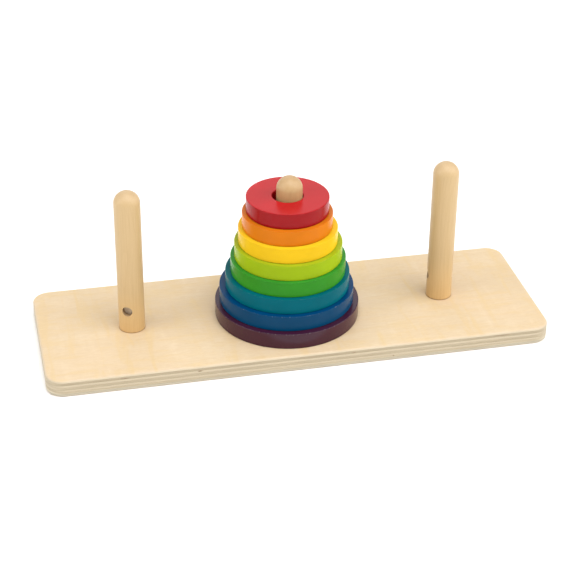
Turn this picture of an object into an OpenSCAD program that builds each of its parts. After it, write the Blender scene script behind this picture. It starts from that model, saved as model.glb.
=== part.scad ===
// Tower puzzle: eight loose rings on the middle one of three pegs, on a plywood board.
// Millimetres. +X runs along the board, +Y to its back, +Z up.
// The origin is the middle of the board's underside.

/* [Board] */
// Length of the board, along X
board_l = 350; // [320:1:400]
// Width of the board, along Y
board_w = 118; // [112:1:150]
// Thickness of the plywood
board_t = 12.4; // [11:0.2:18]
// Radius of the board's four corners, seen from above
board_corner_r = 12; // [6:0.5:20]
// Radius of the softened edge round both faces of the board
board_edge_r = 1.5; // [0.5:0.1:3]

/* [Pegs] */
// Distance from the middle peg to each outer peg
peg_spacing = 110.5; // [104:0.5:130]
// Diameter of the pegs
peg_d = 18; // [17:0.2:19]
// Height of the pegs above the board
peg_h = 105; // [100:1:130]
// Height of the domed tip of a peg
peg_dome_h = 8.6; // [5:0.1:9]
// Bevel round the foot of a peg
peg_foot_bevel = 0.4; // [0.1:0.1:1]

/* [Rings] */
// Thickness of every ring
ring_t = 11.3; // [9:0.1:12]
// Diameter of the hole in every ring
ring_bore_d = 21.6; // [21.2:0.1:23]
// Radius of the softened edges of a ring
ring_edge_r = 0.5; // [0.2:0.1:2]
// Diameter of the purple ring, at the bottom
purple_d = 100.5; // [97:0.1:104]
// Diameter of the blue ring
blue_d = 93.7; // [90:0.1:96]
// Diameter of the teal ring
teal_d = 86.4; // [84:0.1:89]
// Diameter of the green ring
green_d = 80; // [78:0.1:83]
// Diameter of the lime ring
lime_d = 74.7; // [71:0.1:77]
// Diameter of the yellow ring
yellow_d = 68.6; // [65:0.1:70]
// Diameter of the orange ring
orange_d = 62.3; // [60:0.1:64]
// Diameter of the red ring, at the top
red_d = 57; // [50:0.1:59]

/* [Fastening] */
// Height of the cross hole in a peg above the board
cross_hole_h = 17; // [12:0.5:17]
// Diameter of the cross hole
cross_hole_d = 7.2; // [7.2:0.1:8]
// Direction in which the left peg's cross hole opens, counted from +X
cross_turn_left = -117; // [-180:1:180]
// Direction in which the middle peg's cross hole opens
cross_turn_centre = 150; // [-180:5:180]
// Direction in which the right peg's cross hole opens
cross_turn_right = 168; // [-180:1:180]
// Length of the barrel nut
nut_l = 12; // [10:0.5:13]
// Thread diameter of the bolts
bolt_d = 4; // [3:0.5:4]
// Depth of the counterbore under each peg
counterbore_depth = 4; // [3.6:0.1:5]

/* [Hidden] */

// Smoothness of round shapes, and of the board's corners, which are hulled
$fn = 96;
corner_fn = 40;
// Steps in each quarter round of a revolved outline
edge_steps = 5;
dome_steps = 18;
// How far a cutter runs past the face that it opens
past = 1;

peg_r = peg_d / 2;
bolt_clear_d = bolt_d + 0.5;

// Fastening stack, from the underside up: counterbore, bolt head, washer, shank, barrel nut
counterbore_d = 10;
washer_d = 9;
washer_t = 0.8;
washer_bore_d = bolt_d + 0.3;
head_d = 7.6;
head_t = 2.4;
head_edge_r = 0.6;
head_bottom_z = counterbore_depth - washer_t - head_t;
hex_key_across_flats = 2.5;
hex_key_depth = 1.4;
nut_d = 7;
nut_z = board_t + cross_hole_h;
nut_slot_w = 1;
nut_slot_depth = 1;
nut_bevel = 0.3;
bolt_tip_z = nut_z + nut_d / 2 + 0.3;
bolt_tip_bevel = 0.4;
pilot_depth = cross_hole_h + cross_hole_d / 2 + 3;

// How far a ring can lie off the middle peg's axis, with the least gap kept between the two
least_gap = 0.3;
ring_play = (ring_bore_d - peg_d) / 2 - least_gap;

// Where each loose ring rests, as shares of that play along X and Y: none is quite centred
purple_rest = [-0.85, -0.5];
blue_rest = [-0.95, 0.1];
teal_rest = [-0.6, 0.05];
green_rest = [-0.35, -0.1];
lime_rest = [-0.3, -0.1];
yellow_rest = [-0.5, 0.1];
orange_rest = [-0.75, 0.35];
red_rest = [-0.65, 0.75];

// Points on a quarter circle, from the angle a by 90 degrees
function quarter(centre, r, a, steps) =
    [for (i = [0:steps]) centre + r * [cos(a + 90 * i / steps), sin(a + 90 * i / steps)]];

// Half section of a disc of radius r and thickness t with both rims rounded
module rounded_disc_section(r, t, edge) {
    polygon(concat(
        [[0, 0]],
        quarter([r - edge, edge], edge, -90, edge_steps),
        quarter([r - edge, t - edge], edge, 0, edge_steps),
        [[0, t]]
    ));
}

// One corner of the board, as a disc that the four corners are hulled from
module board_corner() {
    rotate_extrude($fn = corner_fn)
        rounded_disc_section(board_corner_r, board_t, board_edge_r);
}

// Puts its children at each of the three pegs' places
module at_each_peg() {
    for (side = [-1:1]) translate([side * peg_spacing, 0, 0]) children();
}

module base_board() {
    color([0.93, 0.82, 0.64])
    difference() {
        hull()
            for (x = [-1, 1], y = [-1, 1])
                translate([x * (board_l / 2 - board_corner_r), y * (board_w / 2 - board_corner_r), 0])
                    board_corner();
        at_each_peg() {
            translate([0, 0, -past]) cylinder(h = board_t + 2 * past, d = bolt_clear_d);
            translate([0, 0, -past]) cylinder(h = counterbore_depth + past, d = counterbore_d);
        }
    }
}

// Half section of a peg: bevelled foot, straight side and domed tip
module peg_section() {
    straight_top = peg_h - peg_dome_h;
    polygon(concat(
        [[0, 0], [peg_r - peg_foot_bevel, 0], [peg_r, peg_foot_bevel]],
        [for (i = [0:dome_steps - 1])
            [peg_r * cos(90 * i / dome_steps), straight_top + peg_dome_h * sin(90 * i / dome_steps)]],
        [[0, peg_h]]
    ));
}

// A dowel peg on the board, with its blind bolt hole and its cross hole for the barrel nut
module peg(side, cross_turn) {
    color([0.89, 0.74, 0.52])
    translate([side * peg_spacing, 0, board_t])
    difference() {
        rotate_extrude() peg_section();
        translate([0, 0, -past]) cylinder(h = pilot_depth + past, d = bolt_clear_d);
        translate([0, 0, cross_hole_h])
            rotate([0, 90, cross_turn])
                cylinder(h = peg_d + 2 * past, d = cross_hole_d, center = true);
    }
}

// A ring: a flat disc with a hole, its rims softened inside and out
module ring(level, d, rest) {
    bore_r = ring_bore_d / 2;
    outer_r = d / 2;
    e = ring_edge_r;
    translate([rest.x * ring_play, rest.y * ring_play, board_t + level * ring_t])
    rotate_extrude()
    polygon(concat(
        quarter([outer_r - e, e], e, -90, edge_steps),
        quarter([outer_r - e, ring_t - e], e, 0, edge_steps),
        quarter([bore_r + e, ring_t - e], e, 90, edge_steps),
        quarter([bore_r + e, e], e, 180, edge_steps)
    ));
}

// A barrel nut: a short round bar across the peg, tapped through its middle. A slot in its far end
// runs the same way as the tapped hole.
module barrel_nut(side, cross_turn) {
    color("silver")
    translate([side * peg_spacing, 0, nut_z])
    rotate([0, 0, cross_turn])
    difference() {
        rotate([0, 90, 0]) bevelled_bar(nut_l, nut_d / 2, nut_bevel);
        cylinder(h = nut_d + 2 * past, d = bolt_d, center = true);
        translate([-nut_l / 2 - past, -nut_slot_w / 2, -nut_d])
            cube([nut_slot_depth + past, nut_slot_w, 2 * nut_d]);
    }
}

// A round bar about the origin, along Z, with both ends bevelled
module bevelled_bar(l, r, bevel) {
    rotate_extrude()
    polygon([
        [0, -l / 2], [r - bevel, -l / 2], [r, bevel - l / 2],
        [r, l / 2 - bevel], [r - bevel, l / 2], [0, l / 2]
    ]);
}

// A machine bolt driven up from under the board: round head with a hexagon socket, plain shank
module bolt(side) {
    head_r = head_d / 2;
    shank_r = bolt_d / 2;
    head_top_z = head_bottom_z + head_t;
    color("gainsboro")
    translate([side * peg_spacing, 0, 0])
    difference() {
        rotate_extrude()
        polygon(concat(
            [[0, head_bottom_z]],
            quarter([head_r - head_edge_r, head_bottom_z + head_edge_r], head_edge_r, -90, edge_steps),
            [
                [head_r, head_top_z], [shank_r, head_top_z],
                [shank_r, bolt_tip_z - bolt_tip_bevel], [shank_r - bolt_tip_bevel, bolt_tip_z],
                [0, bolt_tip_z]
            ]
        ));
        translate([0, 0, head_bottom_z - past])
            cylinder(h = hex_key_depth + past, r = hex_key_across_flats / 2 / cos(30), $fn = 6);
    }
}

// A flat washer between the bolt head and the wood
module washer(side) {
    color("lightgray")
    translate([side * peg_spacing, 0, counterbore_depth - washer_t])
    difference() {
        cylinder(h = washer_t, d = washer_d);
        translate([0, 0, -past]) cylinder(h = washer_t + 2 * past, d = washer_bore_d);
    }
}

module peg_left() { peg(-1, cross_turn_left); }
module peg_centre() { peg(0, cross_turn_centre); }
module peg_right() { peg(1, cross_turn_right); }

module ring_purple() { color([0.31, 0.16, 0.24]) ring(0, purple_d, purple_rest); }
module ring_blue() { color([0.04, 0.28, 0.49]) ring(1, blue_d, blue_rest); }
module ring_teal() { color([0.05, 0.44, 0.51]) ring(2, teal_d, teal_rest); }
module ring_green() { color([0.25, 0.60, 0.20]) ring(3, green_d, green_rest); }
module ring_lime() { color([0.71, 0.79, 0.16]) ring(4, lime_d, lime_rest); }
module ring_yellow() { color([0.98, 0.87, 0.18]) ring(5, yellow_d, yellow_rest); }
module ring_orange() { color([0.96, 0.54, 0.16]) ring(6, orange_d, orange_rest); }
module ring_red() { color([0.83, 0.20, 0.22]) ring(7, red_d, red_rest); }

module barrel_nut_left() { barrel_nut(-1, cross_turn_left); }
module barrel_nut_centre() { barrel_nut(0, cross_turn_centre); }
module barrel_nut_right() { barrel_nut(1, cross_turn_right); }

module bolt_left() { bolt(-1); }
module bolt_centre() { bolt(0); }
module bolt_right() { bolt(1); }

module washer_left() { washer(-1); }
module washer_centre() { washer(0); }
module washer_right() { washer(1); }

base_board();
peg_left();
peg_centre();
peg_right();
ring_purple();
ring_blue();
ring_teal();
ring_green();
ring_lime();
ring_yellow();
ring_orange();
ring_red();
barrel_nut_left();
barrel_nut_centre();
barrel_nut_right();
bolt_left();
bolt_centre();
bolt_right();
washer_left();
washer_centre();
washer_right();
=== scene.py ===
"""Looks of the tower puzzle: a plywood board, three dowel pegs, eight painted rings and their fastenings.

Metres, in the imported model's frame: +X along the board, +Y to its back, +Z up."""
import math
import random

import bmesh
import bpy
from mathutils import Matrix, Vector
from mathutils.noise import noise


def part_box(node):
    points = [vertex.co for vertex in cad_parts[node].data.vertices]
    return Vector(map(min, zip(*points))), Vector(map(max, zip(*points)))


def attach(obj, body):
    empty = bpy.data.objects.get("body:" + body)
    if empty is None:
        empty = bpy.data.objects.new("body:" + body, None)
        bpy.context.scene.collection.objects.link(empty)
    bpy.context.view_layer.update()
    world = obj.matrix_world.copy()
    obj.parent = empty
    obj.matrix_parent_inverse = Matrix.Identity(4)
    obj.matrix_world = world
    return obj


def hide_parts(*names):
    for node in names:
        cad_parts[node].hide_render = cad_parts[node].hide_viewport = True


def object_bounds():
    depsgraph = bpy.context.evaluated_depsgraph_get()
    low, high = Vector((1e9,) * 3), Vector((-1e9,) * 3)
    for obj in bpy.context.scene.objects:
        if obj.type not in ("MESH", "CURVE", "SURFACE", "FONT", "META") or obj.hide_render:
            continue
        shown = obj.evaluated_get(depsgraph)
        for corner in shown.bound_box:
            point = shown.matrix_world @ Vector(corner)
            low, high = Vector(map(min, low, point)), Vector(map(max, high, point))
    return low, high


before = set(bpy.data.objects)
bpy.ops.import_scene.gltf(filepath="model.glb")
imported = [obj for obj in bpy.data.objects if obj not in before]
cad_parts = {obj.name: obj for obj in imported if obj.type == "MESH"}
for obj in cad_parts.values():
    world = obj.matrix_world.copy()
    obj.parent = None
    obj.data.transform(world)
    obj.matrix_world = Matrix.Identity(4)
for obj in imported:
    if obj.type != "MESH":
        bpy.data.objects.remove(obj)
cad_low, cad_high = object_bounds()
BOARD_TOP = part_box("base_board")[1].z

MM = 0.001
UP = Vector((0, 0, 1))
SIDES = ("left", "centre", "right")

# Board: seven plies of one thickness, the outer and every second one with its grain along X.
# The tones say how much of the ply shade each takes, from the bottom up.
PLIES = 7
# The lowest ply's tone is mostly painted shade under the board's rounded lower edge
PLY_TONES = (0.50, 0.15, 0.5, 0.4, 0.35, 0.65, 0.1)
BOARD_CORNER_R = 12 * MM
BOARD_CORNER_STEPS = 20
BOARD_STEP = 4 * MM
BOARD_EDGE_R = 1.5 * MM
BOARD_EDGE_STEPS = 7
GLUE_LINE = 0.16 * MM
GLUE_GROOVE = 0.05 * MM
# How far a glue line wanders up and down and how deep the edge is dented, each with a length along the edge
PLY_WAVE, PLY_WAVE_LENGTH = 0.14 * MM, 26 * MM
DENT_DEPTH, DENT_LENGTH = 0.05 * MM, 9 * MM
BOLT_HOLE_R = 2.25 * MM
COUNTERBORE_R = 5 * MM
COUNTERBORE_DEPTH = 4 * MM

# Pegs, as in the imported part. The cross holes' directions are in degrees from +X.
PEG_SPACING = 110.5 * MM
PEG_R = 9 * MM
DOME_H = 8.6 * MM
FOOT_BEVEL = 0.4 * MM
CROSS_HOLE_R = 3.6 * MM
CROSS_HOLE_H = 17 * MM
CROSS_TURN = {"left": -117, "centre": 150, "right": 168}
PILOT_DEPTH = 23.6 * MM
PEG_FACETS = 128
SHAFT_ROWS = 24
DOME_ROWS = 24

# Rings. Their edges are a little uneven, and the upper one has small dents.
RING_BORE_R = 10.8 * MM
RING_EDGE_R = 0.5 * MM
RING_EDGE_STEPS = 6
RING_FACET = 0.7 * MM
RING_ROUGHNESS = 0.02 * MM
DENT_COUNTS = (5, 9)
DENT_WIDTHS = (0.5, 1.3)
DENT_DROPS = (0.01, 0.05)
# Only rows with more wear than this are dented, and a drop this deep counts as full wear
DENTED_WEAR = 0.3
FULL_WEAR_DROP = 0.1 * MM
# How high the painted shade along a ring's foot reaches
RING_FOOT_HEIGHT = 0.4 * MM
# Each ring's paint, from the bottom of the stack up: colour of its flat faces, what its side multiplies that
# by as painted light and shade, specular level and how worn its edges are
PAINTS = {
    "purple": ((0.0440, 0.0078, 0.0275), (1.30, 1.15, 0.90), 0.38, 0.70),
    "blue": ((0.0002, 0.0500, 0.1470), (1.00, 1.14, 0.97), 0.11, 0.70),
    "teal": ((0.0006, 0.1280, 0.1500), (0.94, 1.05, 1.16), 0.05, 0.25),
    "green": ((0.0370, 0.2780, 0.0220), (1.00, 1.02, 0.80), 0.10, 0.25),
    "lime": ((0.3720, 0.4430, 0.0120), (0.96, 1.11, 0.86), 0.06, 0.06),
    "yellow": ((0.8200, 0.5350, 0.0180), (0.99, 1.02, 0.87), 0.05, 0.04),
    "orange": ((0.6400, 0.1740, 0.0070), (1.10, 1.22, 0.80), 0.10, 0.05),
    "red": ((0.4900, 0.0075, 0.0120), (0.76, 0.68, 0.66), 0.18, 0.05),
}

# How far a flat face runs on from a rounded edge before its next row of vertices
SUPPORT = 0.3 * MM
HOLE_SIDES = 48
CREASE_DEGREES = 35


# ---------------------------------------------------------------- meshes


def strip(bm, first, second):
    """Quads from one closed loop of vertices to the next."""
    n = len(first)
    return [bm.faces.new((first[i], first[(i + 1) % n], second[(i + 1) % n], second[i])) for i in range(n)]


def fan(bm, loop, tip, upwards):
    """Triangles from a closed loop to one tip vertex."""
    n = len(loop)
    for i in range(n):
        pair = (loop[i], loop[(i + 1) % n]) if upwards else (loop[(i + 1) % n], loop[i])
        bm.faces.new((*pair, tip))


def circle(bm, centre, radius, z, count):
    """A level loop of vertices about centre, counter-clockwise from above."""
    x, y = centre.x, centre.y
    angles = (2 * math.pi * i / count for i in range(count))
    return [bm.verts.new((x + radius * math.cos(a), y + radius * math.sin(a), z)) for a in angles]


def arc(centre_r, centre_z, radius, start, steps):
    """(r, z) points on a quarter circle that begins at the angle start, in degrees."""
    angles = [math.radians(start + 90 * i / steps) for i in range(steps + 1)]
    return [(centre_r + radius * math.cos(a), centre_z + radius * math.sin(a)) for a in angles]


def sharpen(bm):
    """Smooth faces, with a sharp crease wherever two faces meet at more than the crease angle."""
    for face in bm.faces:
        face.smooth = True
    for edge in bm.edges:
        if len(edge.link_faces) == 2 and edge.calc_face_angle(0) > math.radians(CREASE_DEGREES):
            edge.smooth = False


def piece(bm, name):
    """Turns the bmesh into a linked object."""
    bmesh.ops.recalc_face_normals(bm, faces=bm.faces)
    sharpen(bm)
    mesh = bpy.data.meshes.new(name)
    bm.to_mesh(mesh)
    bm.free()
    obj = bpy.data.objects.new(name, mesh)
    bpy.context.scene.collection.objects.link(obj)
    return obj


def cut(obj, cutters):
    """Takes the cutters' solids out of obj's mesh and removes them."""
    for cutter in cutters:
        boolean = obj.modifiers.new("cut", "BOOLEAN")
        boolean.object = cutter
        boolean.solver = "EXACT"
    depsgraph = bpy.context.evaluated_depsgraph_get()
    cut_mesh = bpy.data.meshes.new_from_object(obj.evaluated_get(depsgraph), depsgraph=depsgraph)
    obj.modifiers.clear()
    for cutter in cutters:
        bpy.data.objects.remove(cutter)
    bm = bmesh.new()
    bm.from_mesh(cut_mesh)
    sharpen(bm)
    bm.to_mesh(obj.data)
    bm.free()


def cylinder(name, radius, length, matrix):
    """A closed cylinder along its own Z from 0 to length, used only as a cutter."""
    bm = bmesh.new()
    bottom = circle(bm, Vector((0, 0)), radius, 0, HOLE_SIDES)
    top = circle(bm, Vector((0, 0)), radius, length, HOLE_SIDES)
    strip(bm, bottom, top)
    bm.faces.new(top)
    bm.faces.new(reversed(bottom))
    obj = piece(bm, name)
    obj.matrix_world = matrix
    return obj


def add_piece(obj, body, node, material):
    """Finishes a piece: it rides on a body, stands for a CAD node and has one material."""
    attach(obj, body)
    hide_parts(node)
    obj.data.materials.append(material)


def middle(node):
    """The middle of a CAD node's box."""
    low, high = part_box(node)
    return (low + high) / 2


# ---------------------------------------------------------------- shader helpers


class Shader:
    """Builds one node material. Each call to add makes a node, and its inputs are values or sockets.

    A noise's pattern is its repeats per millimetre along X, Y and Z, so a low number makes a long streak."""

    def __init__(self, name):
        self.material = bpy.data.materials.new(name)
        self.material.use_nodes = True
        self.tree = self.material.node_tree
        self.tree.nodes.clear()
        self.surface = self.add("ShaderNodeBsdfPrincipled")
        output = self.add("ShaderNodeOutputMaterial")
        self.tree.links.new(self.surface.outputs[0], output.inputs["Surface"])
        coordinates = self.add("ShaderNodeTexCoord")
        self.place = coordinates.outputs["Object"]
        self.normal = coordinates.outputs["Normal"]

    def add(self, kind, inputs=None, **settings):
        """Makes a node, sets its properties and feeds its inputs."""
        made = self.tree.nodes.new(kind)
        for key, value in settings.items():
            setattr(made, key, value)
        for key, value in (inputs or {}).items():
            self.feed(made.inputs[key], value)
        return made

    def feed(self, socket, value):
        """Links a socket to an input, or sets the input to a value."""
        if isinstance(value, bpy.types.NodeSocket):
            self.tree.links.new(value, socket)
        elif socket.type == "RGBA" and len(value) == 3:
            socket.default_value = (*value, 1)
        else:
            socket.default_value = value

    def maths(self, operation, a, b=0.0):
        """The result of one maths operation."""
        return self.add("ShaderNodeMath", {0: a, 1: b}, operation=operation).outputs[0]

    def split(self, vector):
        """The X, Y and Z sockets of a vector, by name."""
        return self.add("ShaderNodeSeparateXYZ", {0: vector}).outputs

    def stretched(self, pattern, offset=(0, 0, 0)):
        """Object coordinates times the pattern's repeats per millimetre."""
        per_metre = tuple(repeats / MM for repeats in pattern)
        made = self.add("ShaderNodeMapping", {"Vector": self.place, "Scale": per_metre, "Location": offset})
        return made.outputs[0]

    def millimetres(self):
        """The X, Y and Z sockets of the place on the piece, in millimetres."""
        return self.split(self.stretched((1, 1, 1)))

    def noise(self, pattern, detail=3.0, rough=0.5, distortion=0.0, offset=(0, 0, 0)):
        """A noise about 0.5 in the given pattern."""
        inputs = {
            "Vector": self.stretched(pattern, offset),
            "Scale": 1.0,
            "Detail": detail,
            "Roughness": rough,
            "Distortion": distortion,
        }
        return self.add("ShaderNodeTexNoise", inputs).outputs["Fac"]

    def remap(self, value, low, high, to_low=0.0, to_high=1.0, smooth=False):
        """Takes low..high to to_low..to_high, and holds still outside it. low may be the greater one."""
        inputs = {"Value": value, "From Min": low, "From Max": high, "To Min": to_low, "To Max": to_high}
        kind = "SMOOTHSTEP" if smooth else "LINEAR"
        return self.add("ShaderNodeMapRange", inputs, interpolation_type=kind).outputs[0]

    def mix(self, share, a, b, blend="MIX"):
        """Colour a with a share of colour b, or of their blend."""
        made = self.add("ShaderNodeMix", data_type="RGBA", blend_type=blend)
        # A colour mix has its share at input 0, its colours at 6 and 7 and its result at output 2
        for index, value in ((0, share), (6, a), (7, b)):
            self.feed(made.inputs[index], value)
        return made.outputs[2]

    def tinted(self, share, colour, multiplier):
        """The colour with a share of its product with the multiplier."""
        return self.mix(share, colour, self.mix(1.0, colour, multiplier, blend="MULTIPLY"))

    def scaled(self, value, factor):
        """A value times a factor."""
        return self.maths("MULTIPLY", value, factor)

    def distance(self, a, b):
        """The square root of the sum of both squares."""
        squares = [self.maths("MULTIPLY", side, side) for side in (a, b)]
        return self.maths("SQRT", self.maths("ADD", *squares))

    def attribute(self, name):
        """A mesh attribute's value."""
        return self.add("ShaderNodeAttribute", attribute_name=name).outputs["Fac"]

    def bump(self, height, depth, strength):
        """Bumps the surface by a height of which 1 stands for the depth, in metres."""
        inputs = {"Height": height, "Distance": depth, "Strength": strength}
        self.feed(self.surface.inputs["Normal"], self.add("ShaderNodeBump", inputs).outputs[0])

    def set(self, **inputs):
        """Feeds inputs of the surface, with _ for each space in their names."""
        for key, value in inputs.items():
            self.feed(self.surface.inputs[key.replace("_", " ")], value)


# ---------------------------------------------------------------- materials

# Birch veneer on the board's faces
FACE_DARK = (0.690, 0.546, 0.362)
FACE_LIGHT = (0.731, 0.592, 0.408)
FACE_PINK = (0.716, 0.545, 0.356)
FACE_GOLD = (0.715, 0.540, 0.300)
FACE_FLAME = (0.766, 0.634, 0.460)
FACE_FIBRE = (0.624, 0.457, 0.278)
FACE_PORE = (0.461, 0.309, 0.176)
# Plies on the board's edge
LONG_LIGHT = (0.702, 0.603, 0.438)
LONG_DARK = (0.615, 0.519, 0.365)
END_LIGHT = (0.538, 0.450, 0.315)
END_MIDDLE = (0.586, 0.499, 0.355)
END_DARK = (0.471, 0.383, 0.257)
GLUE = (0.300, 0.222, 0.142)
KNOT = (0.235, 0.145, 0.082)
# Multipliers: a dark ply, painted light from the white floor on the lowest ply, which turns greyer and bluer
# towards the table, and a painted highlight on the faces' rounded rim, which is paler and bluer
PLY_SHADE = (0.74, 0.72, 0.69)
LOW_PLY_FLOOR_LIGHT = (0.96, 1.07, 1.22)
RIM_HIGHLIGHT = (0.97, 0.99, 1.07)
# Where the painted floor light on the lowest ply starts and where it is full, in millimetres above the table
LOW_PLY_START, LOW_PLY_FULL = 3.0, 0.8
# Dark spots on the board's front edge: x, z, half their length and half their height, in millimetres. The
# reach is how far they go into the wood.
KNOTS = (
    (-73, 8.6, 2.2, 0.55),
    (61, 3.5, 0.7, 0.5),
    (-124, 9.5, 5.0, 0.25),
    (33, 9.5, 2.0, 0.22),
    (138, 10.0, 8.0, 0.2),
)
KNOT_REACH = 2.0

# Lacquered dowel wood, its heart's place in millimetres, and how many growth rings a millimetre holds and
# how many they drift by
DOWEL_LIGHT = (0.622, 0.441, 0.221)
DOWEL_DARK = (0.566, 0.388, 0.183)
DOWEL_LATE = (0.491, 0.311, 0.137)
DOWEL_PORE = (0.372, 0.223, 0.098)
DOME_LIGHT = (0.640, 0.465, 0.272)
DOME_DARK = (0.500, 0.335, 0.172)
HEART_X, HEART_Y = -24.0, 150.0
YEARS_PER_MM = 0.62
YEARS_DRIFT = 7.0
# Raw wood inside the drilled holes, darkened further as painted shade in those recesses
BORED_WOOD_AND_SHADE = (0.380, 0.245, 0.130)
# Multipliers: painted light from the board makes the pegs paler and more golden over their lowest
# millimetres, and painted shade with reflected red from the rings makes the middle one darker and warmer
PEG_BOUNCE_LIGHT = (1.20, 1.13, 1.02)
PEG_BOUNCE_HEIGHT = 32
MIDDLE_PEG_SHADE = (0.91, 0.84, 0.76)

# Multipliers for the painted shade where a ring lies on the one below and where a peg stands on the board,
# and how much of each is used there
RING_FOOT_SHADE, RING_FOOT_SHARE = (0.40, 0.40, 0.40), 0.75
PEG_FOOT_SHADE, PEG_FOOT_SHARE = (0.66, 0.50, 0.36), 0.6
# How far that painted shade reaches onto the board and up the peg, from full to none, in millimetres
BOARD_FOOT_REACH = 0.4
PEG_FOOT_FULL, PEG_FOOT_NONE = 0.1, 0.7
# The middle peg's painted shade gives way to the others' colour between these distances from x = 0, in
# millimetres
MIDDLE_PEG_REACH = (20, 21)

# How much of its range a noise mostly covers, its middle part, and the part above which pores show
NOISE_SPAN = (0.3, 0.7)
NOISE_MIDDLE = (0.35, 0.65)
PORE_SPAN = (0.60, 0.72)
BOARD_ROUGHNESS = (0.36, 0.48)
DOWEL_ROUGHNESS = (0.38, 0.50)
PAINT_ROUGHNESS = (0.20, 0.27)
FIBRE_DEPTH = 0.03 * MM
PEEL_DEPTH = 0.02 * MM
TURNING_DEPTH = 0.01 * MM

# The nut's zinc is tinted tan as a painted reflection of the wood round it
NUT_ZINC_WOOD_REFLECTION = (0.56, 0.48, 0.39)
BOLT_ZINC = (0.70, 0.70, 0.70)


def veneer(s, fibre, pores, upright):
    """Colour of the board's faces: birch with pink and golden drifts, pale flames, fibres and pores, and a
    painted highlight on the rounded rim.
    """
    figure = s.noise((0.006, 0.05, 0.05), distortion=1.2, offset=(3.1, 0.7, 0))
    patch = s.noise((0.02, 0.03, 0.02), offset=(9.2, 4.0, 0))
    flame = s.noise((0.12, 0.018, 0.018), distortion=0.5, offset=(1.7, 8.3, 0))
    flecks = s.noise((0.22, 1.0, 1.0), detail=4, rough=0.7, offset=(4.4, 2.9, 0))
    gold = s.noise((0.05, 0.20, 0.20), offset=(6.5, 1.4, 0))
    face = s.mix(s.remap(figure, *NOISE_MIDDLE), FACE_DARK, FACE_LIGHT)
    face = s.mix(s.remap(patch, 0.40, 0.68, 0, 0.45), face, FACE_PINK)
    face = s.mix(s.remap(flame, 0.56, 0.74, 0, 0.5, smooth=True), face, FACE_FLAME)
    face = s.mix(s.remap(flame, 0.48, 0.32, 0, 0.9), face, FACE_GOLD)
    face = s.mix(s.remap(gold, 0.45, 0.65, 0, 0.6), face, FACE_GOLD)
    face = s.mix(s.remap(fibre, *NOISE_SPAN, 0.0, 0.20), face, FACE_FIBRE)
    face = s.mix(s.remap(flecks, 0.35, 0.70, 0.0, 0.50), face, FACE_FIBRE)
    face = s.mix(s.scaled(pores, 0.16), face, FACE_PORE)
    # Painted highlight: the rounded rim, where the faces turn down, is paler and bluer
    return s.tinted(s.remap(upright, 0.995, 0.9), face, RIM_HIGHLIGHT)


def plies(s, normal, at):
    """Colour of the board's edge. The odd plies' grain runs along Y, so the long edges show its ends."""
    on_short_edge = s.maths("ABSOLUTE", normal["X"])
    end_grain = s.maths("ABSOLUTE", s.maths("SUBTRACT", s.attribute("cross_grain"), on_short_edge))
    streaks = s.noise((0.05, 0.05, 3.4), detail=4, rough=0.65)
    long_grain = s.mix(s.remap(streaks, *NOISE_MIDDLE), LONG_LIGHT, LONG_DARK)
    dots = s.noise((2.6, 2.6, 3.2), rough=0.7)
    drift = s.noise((0.03, 0.03, 0.5), offset=(0, 0, 2.2))
    ends = s.mix(s.remap(dots, *NOISE_MIDDLE), END_LIGHT, END_MIDDLE)
    ends = s.mix(s.remap(drift, 0.40, 0.65, 0, 0.6), ends, END_DARK)
    edge = s.mix(end_grain, long_grain, ends)
    edge = s.tinted(s.attribute("ply_tone"), edge, PLY_SHADE)
    edge = s.mix(s.scaled(s.attribute("glue"), 0.8), edge, GLUE)
    ragged = s.remap(s.noise((0.8, 0.8, 1.6), detail=2), *NOISE_SPAN, -0.25, 0.25)
    for spot in KNOTS:
        edge = s.mix(knot(s, ragged, *spot), edge, KNOT)
    # Painted light: the lowest ply turns greyer and bluer towards the table, standing in for the white
    # floor's light
    return s.tinted(s.remap(at["Z"], LOW_PLY_START, LOW_PLY_FULL), edge, LOW_PLY_FLOOR_LIGHT)


def knot(s, ragged, x, z, half_length, half_height):
    """A small dark spot on the front edge: 1 in its middle, 0 outside its ragged outline. Millimetres."""
    front = cad_low.y / MM
    inputs = {
        "Vector": s.place,
        "Scale": (1 / (half_length * MM), 1 / (KNOT_REACH * MM), 1 / (half_height * MM)),
        "Location": (-x / half_length, -front / KNOT_REACH, -z / half_height),
    }
    centred = s.add("ShaderNodeMapping", inputs).outputs[0]
    away = s.add("ShaderNodeVectorMath", {0: centred}, operation="LENGTH").outputs["Value"]
    return s.remap(s.maths("ADD", away, ragged), 1.0, 0.35)


def plywood_material():
    """Lacquered birch veneer on both faces and plies on the edge, with a line of painted shade round each
    peg's foot.
    """
    s = Shader("plywood")
    fibre = s.noise((0.035, 1.3, 1.3), detail=5, rough=0.6)
    pores = s.remap(s.noise((0.30, 5.5, 5.5), detail=2, rough=0.6), *PORE_SPAN)
    normal, at = s.split(s.normal), s.millimetres()
    upright = s.maths("ABSOLUTE", normal["Z"])

    # Painted shade: a dark line on the top face round each peg's foot
    from_peg = s.distance(s.maths("PINGPONG", at["X"], PEG_SPACING / MM / 2), at["Y"])
    on_top = s.remap(at["Z"], BOARD_TOP / MM - 1, BOARD_TOP / MM)
    near_peg = s.remap(from_peg, PEG_R / MM, PEG_R / MM + BOARD_FOOT_REACH, PEG_FOOT_SHARE, 0.0)
    foot = s.maths("MULTIPLY", near_peg, on_top)
    face = s.tinted(foot, veneer(s, fibre, pores, upright), PEG_FOOT_SHADE)
    level = s.remap(upright, 0.30, 0.80, smooth=True)
    s.set(Base_Color=s.mix(level, plies(s, normal, at), face))
    s.set(Roughness=s.remap(fibre, *NOISE_SPAN, *BOARD_ROUGHNESS))
    s.set(Specular_IOR_Level=0.15, Sheen_Weight=0.03)
    s.bump(s.maths("ADD", fibre, s.scaled(pores, -0.6)), FIBRE_DEPTH, strength=0.5)
    return s.material


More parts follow.
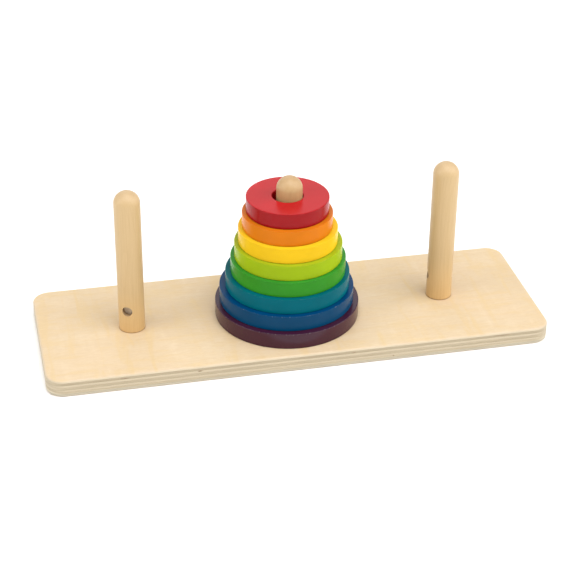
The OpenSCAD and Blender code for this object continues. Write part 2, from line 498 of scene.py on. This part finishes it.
def dowel_material():
    """Sanded, lacquered hardwood with painted light and shade low down and on the middle peg. Its growth
    rings curve about a heart far behind the pegs.
    """
    s = Shader("dowel_wood")
    at = s.millimetres()
    drift = s.noise((0.02, 0.02, 0.012), detail=2)
    from_heart = s.distance(s.maths("ADD", at["X"], -HEART_X), s.maths("ADD", at["Y"], -HEART_Y))
    years = s.maths("ADD", s.scaled(from_heart, YEARS_PER_MM), s.scaled(drift, YEARS_DRIFT))
    late = s.maths("POWER", s.maths("FRACT", years), 3.0)
    fibre = s.noise((2.2, 2.2, 0.035), detail=5, rough=0.62)
    pores = s.remap(s.noise((7.0, 7.0, 0.35), detail=2, rough=0.6), *PORE_SPAN)

    colour = s.mix(s.remap(fibre, *NOISE_SPAN), DOWEL_LIGHT, DOWEL_DARK)
    colour = s.mix(s.scaled(late, 0.16), colour, DOWEL_LATE)
    colour = s.mix(s.scaled(pores, 0.20), colour, DOWEL_PORE)
    # Painted light: the pegs turn paler and more golden over their lowest millimetres, as if lit from the
    # board
    low = s.remap(at["Z"], BOARD_TOP / MM, BOARD_TOP / MM + PEG_BOUNCE_HEIGHT, 1.0, 0.0)
    colour = s.tinted(low, colour, PEG_BOUNCE_LIGHT)
    tip = s.remap(s.split(s.normal)["Z"], 0.10, 0.90, smooth=True)
    speckle = s.remap(s.noise((2.4, 2.4, 2.4), detail=4, rough=0.7), 0.35, 0.68)
    colour = s.mix(s.scaled(tip, 0.65), colour, s.mix(speckle, DOME_LIGHT, DOME_DARK))
    # Painted shade and reflected red from the rings darken and warm the middle peg
    on_middle_peg = s.remap(s.maths("ABSOLUTE", at["X"]), *MIDDLE_PEG_REACH, 1.0, 0.0)
    colour = s.tinted(on_middle_peg, colour, MIDDLE_PEG_SHADE)
    # Painted shade: the holes' walls take the darkened bored wood
    colour = s.mix(s.scaled(s.attribute("inside"), 0.85), colour, BORED_WOOD_AND_SHADE)
    # Painted shade: a dark line up each peg from the board
    foot = s.remap(at["Z"], BOARD_TOP / MM + PEG_FOOT_FULL, BOARD_TOP / MM + PEG_FOOT_NONE, 1.0, 0.0)
    s.set(Base_Color=s.tinted(foot, colour, PEG_FOOT_SHADE))
    s.set(Roughness=s.remap(fibre, *NOISE_SPAN, *DOWEL_ROUGHNESS))
    s.set(Specular_IOR_Level=0.58, Sheen_Weight=0.03)
    s.bump(s.maths("ADD", fibre, s.scaled(pores, -0.5)), FIBRE_DEPTH, strength=0.5)
    return s.material


def paint_material(name, colour, side, specular, worn):
    """Satin paint over turned wood: slightly uneven, thin in spots on the edges, with painted light and
    shade on its sides and painted shade along the foot.
    """
    s = Shader(name + "_paint")
    uneven = s.noise((0.05, 0.05, 0.08))
    peel = s.noise((0.9, 0.9, 0.9), rough=0.55)
    grain = s.noise((0.06, 1.6, 0.06), rough=0.6)
    deep = tuple(c * 0.95 for c in colour)
    light = tuple(min(1.0, c * 1.04) for c in colour)
    rubbed = tuple(min(1.0, 0.72 * c + 0.20) for c in colour)

    upright = s.maths("ABSOLUTE", s.split(s.normal)["Z"])
    coat = s.mix(s.remap(uneven, *NOISE_MIDDLE), deep, light)
    # Painted light and shade: the upright faces take the side multiplier, lighter on some rings and darker
    # on others
    coat = s.tinted(s.remap(upright, 0.7, 0.2), coat, side)
    patchy = s.remap(s.noise((0.9, 0.9, 0.9), detail=4, rough=0.7, offset=(5, 2, 8)), 0.56, 0.66)
    wear = s.maths("MULTIPLY", s.attribute("wear"), patchy)
    coat = s.mix(s.scaled(wear, worn), coat, rubbed)
    # Painted shade: the ring's lowest rows, where it lies on the one below, are darkened
    s.set(Base_Color=s.tinted(s.scaled(s.attribute("foot"), RING_FOOT_SHARE), coat, RING_FOOT_SHADE))
    s.set(Roughness=s.maths("ADD", s.remap(peel, *NOISE_SPAN, *PAINT_ROUGHNESS), s.scaled(wear, 0.2)))
    s.set(Specular_IOR_Level=specular, Diffuse_Roughness=1.0)
    s.bump(s.maths("ADD", peel, s.scaled(grain, 0.5)), PEEL_DEPTH, strength=0.35)
    return s.material


def steel_material(name, colour, rough):
    """Plated steel with fine turning marks and a cloudy finish."""
    s = Shader(name)
    cloud = s.noise((0.9, 0.9, 0.9), detail=4, rough=0.6)
    marks = s.noise((0.5, 0.5, 9.0), detail=2)
    dull = tuple(c * 0.78 for c in colour)
    s.set(Base_Color=s.mix(s.remap(cloud, 0.35, 0.70), colour, dull), Metallic=1.0)
    s.set(Roughness=s.remap(cloud, *NOISE_SPAN, rough - 0.06, rough + 0.10))
    s.bump(marks, TURNING_DEPTH, strength=0.4)
    return s.material


# ---------------------------------------------------------------- pieces


def outline(half_l, half_w, corner_r):
    """Points and outward normals round a rectangle with rounded corners, counter-clockwise from above."""
    points = []
    for quarter, (sx, sy) in enumerate(((1, 1), (-1, 1), (-1, -1), (1, -1))):
        centre = Vector((sx * (half_l - corner_r), sy * (half_w - corner_r)))
        for i in range(BOARD_CORNER_STEPS + 1):
            a = math.radians(90 * (quarter + i / BOARD_CORNER_STEPS))
            normal = Vector((math.cos(a), math.sin(a)))
            points.append((centre + corner_r * normal, normal))
        length = 2 * (half_l - corner_r) if quarter % 2 == 0 else 2 * (half_w - corner_r)
        start, normal = points[-1]
        along = Vector((-normal.y, normal.x))
        count = round(length / BOARD_STEP)
        points += [(start + along * (length * i / count), normal) for i in range(1, count)]
    return points


def board_rows(thickness):
    """The board's edge from the bottom face to the top one: (inset, z, ply, glue, wave) rows.

    ply and glue describe the faces above the row, and wave is 1 where the row may wander."""
    steps = BOARD_EDGE_STEPS
    rows = [(BOARD_EDGE_R + SUPPORT, 0, 0, 0, 0)]
    rows += [(BOARD_EDGE_R - r, z, 0, 0, 0) for r, z in arc(0, BOARD_EDGE_R, BOARD_EDGE_R, -90, steps)]
    for i in range(1, PLIES):
        z = i * thickness / PLIES
        rows.append((0, z - GLUE_LINE / 2, i - 1, 1, 1))
        rows.append((GLUE_GROOVE, z, i, 1, 1))
        rows.append((0, z + GLUE_LINE / 2, i, 0, 1))
    top, upper_edge = PLIES - 1, thickness - BOARD_EDGE_R
    rows += [(BOARD_EDGE_R - r, z, top, 0, 0) for r, z in arc(0, upper_edge, BOARD_EDGE_R, 0, steps)]
    rows.append((BOARD_EDGE_R + SUPPORT, thickness, top, 0, 0))
    return rows


def along_edge(at, length, layer):
    """Noise about 0 along the board's outline, with features of the given length. Each layer has its own."""
    return noise(Vector((at.x / length, at.y / length, layer)))


def make_board(material):
    """The board: plies and wavering glue lines on its edge, a bolt hole and a counterbore under each peg."""
    low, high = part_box("base_board")
    thickness = high.z - low.z
    points = outline((high.x - low.x) / 2, (high.y - low.y) / 2, BOARD_CORNER_R)
    rows = board_rows(thickness)
    bm = bmesh.new()
    cross_grain = bm.faces.layers.float.new("cross_grain")
    tone_layer = bm.faces.layers.float.new("ply_tone")
    glue_layer = bm.faces.layers.float.new("glue")
    loops = []
    for inset, z, _, _, wave in rows:
        glue_line = round(z / thickness * PLIES)
        loop = []
        # The multiples keep each glue line's noise apart from the next one's
        for at, normal in points:
            rise = along_edge(at, PLY_WAVE_LENGTH, 7.3 * glue_line) * PLY_WAVE
            dent = max(0.0, along_edge(at, DENT_LENGTH, 3.1 * glue_line + 50)) * DENT_DEPTH
            flat = at - (inset + wave * dent) * normal
            loop.append(bm.verts.new((flat.x, flat.y, low.z + z + wave * rise)))
        loops.append(loop)
    for (lower, upper), (_, _, ply, glue, _) in zip(zip(loops, loops[1:]), rows):
        for face in strip(bm, lower, upper):
            face[cross_grain] = ply % 2
            face[tone_layer] = PLY_TONES[ply]
            face[glue_layer] = glue

    top_edges, bottom_edges = boundary(bm, loops[-1]), boundary(bm, loops[0])
    for side in SIDES:
        centre = middle("bolt_" + side)
        ledge = low.z + COUNTERBORE_DEPTH
        rims = [(BOLT_HOLE_R, high.z), (BOLT_HOLE_R, ledge), (COUNTERBORE_R, ledge), (COUNTERBORE_R, low.z)]
        hole = [circle(bm, centre, radius, z, HOLE_SIDES) for radius, z in rims]
        for upper, lower in zip(hole, hole[1:]):
            strip(bm, upper, lower)
        top_edges += boundary(bm, hole[0])
        bottom_edges += boundary(bm, hole[-1])
    bmesh.ops.triangle_fill(bm, edges=top_edges, use_beauty=True, normal=UP)
    bmesh.ops.triangle_fill(bm, edges=bottom_edges, use_beauty=True, normal=-UP)
    add_piece(piece(bm, "plywood_board"), "board", "base_board", material)


def boundary(bm, loop):
    """The edges of a closed loop of vertices."""
    return [bm.edges.get((a, b)) or bm.edges.new((a, b)) for a, b in zip(loop, loop[1:] + loop[:1])]


def make_peg(side, material):
    """A dowel: bevelled foot, straight shaft, domed tip, blind bolt hole and cross hole."""
    node = "peg_" + side
    low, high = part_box(node)
    centre = middle("bolt_" + side)
    radius = (high.y - low.y) / 2
    straight_top = high.z - low.z - DOME_H
    profile = [(radius - FOOT_BEVEL - SUPPORT, 0), (radius - FOOT_BEVEL, 0), (radius, FOOT_BEVEL)]
    for i in range(1, SHAFT_ROWS):
        profile.append((radius, FOOT_BEVEL + (straight_top - FOOT_BEVEL) * i / SHAFT_ROWS))
    for i in range(DOME_ROWS):
        a = math.pi / 2 * i / DOME_ROWS
        profile.append((radius * math.cos(a), straight_top + DOME_H * math.sin(a)))
    bm = bmesh.new()
    loops = [circle(bm, centre, r, low.z + z, PEG_FACETS) for r, z in profile]
    for lower, upper in zip(loops, loops[1:]):
        strip(bm, lower, upper)
    fan(bm, loops[0], bm.verts.new((centre.x, centre.y, low.z)), upwards=False)
    fan(bm, loops[-1], bm.verts.new((centre.x, centre.y, high.z)), upwards=True)
    peg = piece(bm, side + "_dowel")
    past, within = 1 * MM, 0.1 * MM
    upwards = Matrix.Translation((centre.x, centre.y, low.z - past))
    pilot = cylinder("pilot", BOLT_HOLE_R, PILOT_DEPTH + past, upwards)
    across = (
        Matrix.Translation((centre.x, centre.y, low.z + CROSS_HOLE_H))
        @ Matrix.Rotation(math.radians(CROSS_TURN[side]), 4, "Z")
        @ Matrix.Rotation(math.pi / 2, 4, "Y")
        @ Matrix.Translation((0, 0, -radius - past))
    )
    cross = cylinder("cross", CROSS_HOLE_R, 2 * (radius + past), across)
    cut(peg, [cross, pilot])
    mark_inside(peg.data, centre, radius - within, low.z + straight_top)
    add_piece(peg, "board", node, material)


def mark_inside(mesh, centre, radius, top):
    """Marks the walls of a peg's holes: the faces nearer its axis than the radius and below its dome."""
    inside = mesh.attributes.new("inside", "FLOAT", "FACE")
    for face in mesh.polygons:
        away = (face.center.xy - centre.xy).length
        inside.data[face.index].value = 1 if away < radius and face.center.z < top else 0


def ring_profile(outer_r, bore_r, thickness):
    """(r, z, wear) points round a ring's section: up the outside, in over the top, down the bore, out below.

    Each rounded edge has a row of points on the flat before it and one on the flat after it."""
    e, steps = RING_EDGE_R, RING_EDGE_STEPS
    corners = (
        (outer_r - e, e, -90, 0.35),
        (outer_r - e, thickness - e, 0, 1.0),
        (bore_r + e, thickness - e, 90, 0.5),
        (bore_r + e, e, 180, 0.1),
    )
    points = []
    for centre_r, centre_z, start, most in corners:
        quarter = arc(centre_r, centre_z, e, start, steps)
        (first_r, first_z), (last_r, last_z) = quarter[0], quarter[-1]
        arriving, leaving = math.radians(start + 90), math.radians(start + 180)
        points.append((first_r - SUPPORT * math.cos(arriving), first_z - SUPPORT * math.sin(arriving), 0))
        points += [(r, z, most * math.sin(math.pi * i / steps)) for i, (r, z) in enumerate(quarter)]
        points.append((last_r + SUPPORT * math.cos(leaving), last_z + SUPPORT * math.sin(leaving), 0))
    return points


def draw_dents(seed):
    """A few small dents: (angle, width, depth), the last two in metres."""
    draw = random.Random(seed)
    count = draw.randint(*DENT_COUNTS)
    return [
        (draw.uniform(0, 2 * math.pi), draw.uniform(*DENT_WIDTHS) * MM, draw.uniform(*DENT_DROPS) * MM)
        for _ in range(count)
    ]


def dent_at(angle, outer_r, wear, dents):
    """How deep the upper edge is dented at an angle."""
    deepest = 0
    for dent_angle, width, depth in dents:
        away = math.remainder(angle - dent_angle, 2 * math.pi) * outer_r / width
        deepest = max(deepest, depth * wear * math.exp(-away * away))
    return deepest


def make_ring(colour, seed, material):
    """A painted ring with crisp, slightly rubbed edges and a few small dents along the upper one."""
    node = "ring_" + colour
    low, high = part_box(node)
    centre = (low + high) / 2
    outer_r, thickness = (high.x - low.x) / 2, high.z - low.z
    around = 8 * round(2 * math.pi * outer_r / RING_FACET / 8)
    dents = draw_dents(seed)
    bm = bmesh.new()
    wear_layer = bm.verts.layers.float.new("wear")
    foot_shade_layer = bm.verts.layers.float.new("foot")
    loops = []
    for r, z, wear in ring_profile(outer_r, RING_BORE_R, thickness):
        outside = r > outer_r - RING_EDGE_R
        on_upper_edge = outside and z > thickness / 2 and wear > DENTED_WEAR
        loop = []
        for i in range(around):
            angle = 2 * math.pi * i / around
            out = Vector((math.cos(angle), math.sin(angle)))
            rough = RING_ROUGHNESS * abs(noise(Vector((3 * out.x, 3 * out.y, seed)))) if outside else 0
            drop = dent_at(angle, outer_r, wear, dents) if on_upper_edge else 0
            place = centre.xy + (r - rough - drop) * out
            vertex = bm.verts.new((place.x, place.y, low.z + z - drop))
            vertex[wear_layer] = min(1, wear + drop / FULL_WEAR_DROP)
            # Painted shade: 1 on the rows nearest the ring's foot, where it lies on the one below
            vertex[foot_shade_layer] = 1 if z < RING_FOOT_HEIGHT else 0
            loop.append(vertex)
        loops.append(loop)
    for first, second in zip(loops, loops[1:] + loops[:1]):
        strip(bm, first, second)
    add_piece(piece(bm, "painted_ring_" + colour), colour + "_ring", node, material)


def finish_fastenings():
    """The nuts, bolts and washers keep their CAD shapes and get their steel."""
    # The nuts' tan tint is a painted reflection of the wood round them
    nut_steel = steel_material("nut_zinc_wood_reflection", NUT_ZINC_WOOD_REFLECTION, 0.50)
    bolt_steel = steel_material("bolt_zinc", BOLT_ZINC, 0.30)
    for side in SIDES:
        for kind, steel in (("barrel_nut_", nut_steel), ("bolt_", bolt_steel), ("washer_", bolt_steel)):
            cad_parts[kind + side].material_slots[0].material = steel


# ---------------------------------------------------------------- stage, lights and camera

# Strength of the room's light at the horizon and overhead. It fades from one to the other up to the band's
# height, which is the sine of an elevation.
HORIZON_LIGHT = 0.95
HORIZON_BAND = 0.26
ROOM_LIGHT = 0.34
# Soft boxes: name, azimuth, elevation, distance, side in metres and watts
SOFT_BOXES = (
    ("left_box", -80, 30, 3.9, 2.4, 50.4),
    ("right_box", 80, 30, 3.9, 2.4, 46.8),
    ("front_right_box", 40, 40, 3.9, 2.4, 39.6),
    ("back_box", 180, 35, 4.2, 3.0, 26.1),
)
# The light overhead: its elevation and its width in degrees, and its strength
OVERHEAD_ELEVATION, OVERHEAD_SPREAD, OVERHEAD_STRENGTH = 75, 46, 1.80
FLOOR_HALF = 9.0
FLOOR_GAP = 0.05 * MM
FLOOR_GREY = (0.98, 0.98, 0.98)
FLOOR_WHITE = (0.995, 0.995, 0.995)
# Camera: angles in degrees, aim and distance in metres, lens and sensor in millimetres
CAMERA_AZIMUTH, CAMERA_ELEVATION, CAMERA_ROLL = -12.67, 30.51, 0.585
CAMERA_AIM = Vector((-2.9, -2.1, 34.2)) * MM
CAMERA_DISTANCE = 1.1283
CAMERA_LENS, CAMERA_SENSOR = 102.19, 36


def make_floor():
    """A wide sheet of pale paper just under the board."""
    bm = bmesh.new()
    corners = [(-1, -1), (1, -1), (1, 1), (-1, 1)]
    bm.faces.new([bm.verts.new((x * FLOOR_HALF, y * FLOOR_HALF, cad_low.z - FLOOR_GAP)) for x, y in corners])
    floor = piece(bm, "floor")
    s = Shader("floor_paper")
    s.set(Base_Color=s.mix(s.noise((0.02, 0.02, 0.02)), FLOOR_GREY, FLOOR_WHITE))
    s.set(Roughness=0.9, Specular_IOR_Level=0.0)
    floor.data.materials.append(s.material)


def direction(azimuth, elevation):
    """Unit vector towards an azimuth and elevation in degrees: azimuth 0 is the front, 90 the right."""
    a, e = math.radians(azimuth), math.radians(elevation)
    return Vector((math.sin(a) * math.cos(e), -math.cos(a) * math.cos(e), math.sin(e)))


def soft_box(name, azimuth, elevation, distance, size, watts):
    """A square area light that faces the middle of the board."""
    light = bpy.data.lights.new(name, "AREA")
    light.shape, light.size, light.energy = "SQUARE", size, watts
    box = bpy.data.objects.new(name, light)
    towards = direction(azimuth, elevation)
    box.location = towards * distance
    box.rotation_euler = towards.to_track_quat("Z", "Y").to_euler()
    box.visible_camera = False
    bpy.context.scene.collection.objects.link(box)


def overhead_light():
    """A wide light from high up at the front, as strong on a lifted ring as on the floor."""
    light = bpy.data.lights.new("overhead", "SUN")
    light.angle, light.energy = math.radians(OVERHEAD_SPREAD), OVERHEAD_STRENGTH
    lamp = bpy.data.objects.new("overhead", light)
    lamp.rotation_euler = direction(0, OVERHEAD_ELEVATION).to_track_quat("Z", "Y").to_euler()
    bpy.context.scene.collection.objects.link(lamp)


def make_world():
    """A dim grey room whose walls get lighter down to the horizon, where they meet the pale floor."""
    world = bpy.data.worlds.new("studio")
    world.use_nodes = True
    nodes, links = world.node_tree.nodes, world.node_tree.links
    place = nodes.new("ShaderNodeTexCoord")
    height = nodes.new("ShaderNodeSeparateXYZ")
    fade = nodes.new("ShaderNodeMapRange")
    links.new(place.outputs["Generated"], height.inputs["Vector"])
    links.new(height.outputs["Z"], fade.inputs["Value"])
    fade.inputs["From Max"].default_value = HORIZON_BAND
    fade.inputs["To Min"].default_value = HORIZON_LIGHT
    fade.inputs["To Max"].default_value = ROOM_LIGHT
    links.new(fade.outputs["Result"], nodes["Background"].inputs["Strength"])
    nodes["Background"].inputs["Color"].default_value = (1, 1, 1, 1)
    bpy.context.scene.world = world


def make_lights():
    """The room, four soft boxes round the board and the light overhead."""
    make_world()
    for box in SOFT_BOXES:
        soft_box(*box)
    overhead_light()


def make_camera():
    """Looks down at the board from the front, a little from the left and with a slight roll."""
    camera = bpy.data.cameras.new("camera")
    camera.sensor_width, camera.lens = CAMERA_SENSOR, CAMERA_LENS
    view = bpy.data.objects.new("camera", camera)
    back = direction(CAMERA_AZIMUTH, CAMERA_ELEVATION)
    right = (-back).cross(UP).normalized()
    turn = Matrix.Rotation(math.radians(CAMERA_ROLL), 3, back)
    axes = Matrix((turn @ right, turn @ back.cross(right), back)).transposed()
    view.matrix_world = Matrix.Translation(CAMERA_AIM + back * CAMERA_DISTANCE) @ axes.to_4x4()
    bpy.context.scene.collection.objects.link(view)
    bpy.context.scene.camera = view


make_board(plywood_material())
dowel = dowel_material()
for side in SIDES:
    make_peg(side, dowel)
for seed, (colour, paint) in enumerate(PAINTS.items()):
    make_ring(colour, seed, paint_material(colour, *paint))
finish_fastenings()
make_floor()
make_lights()
make_camera()
bpy.context.scene.view_settings.view_transform = "Standard"
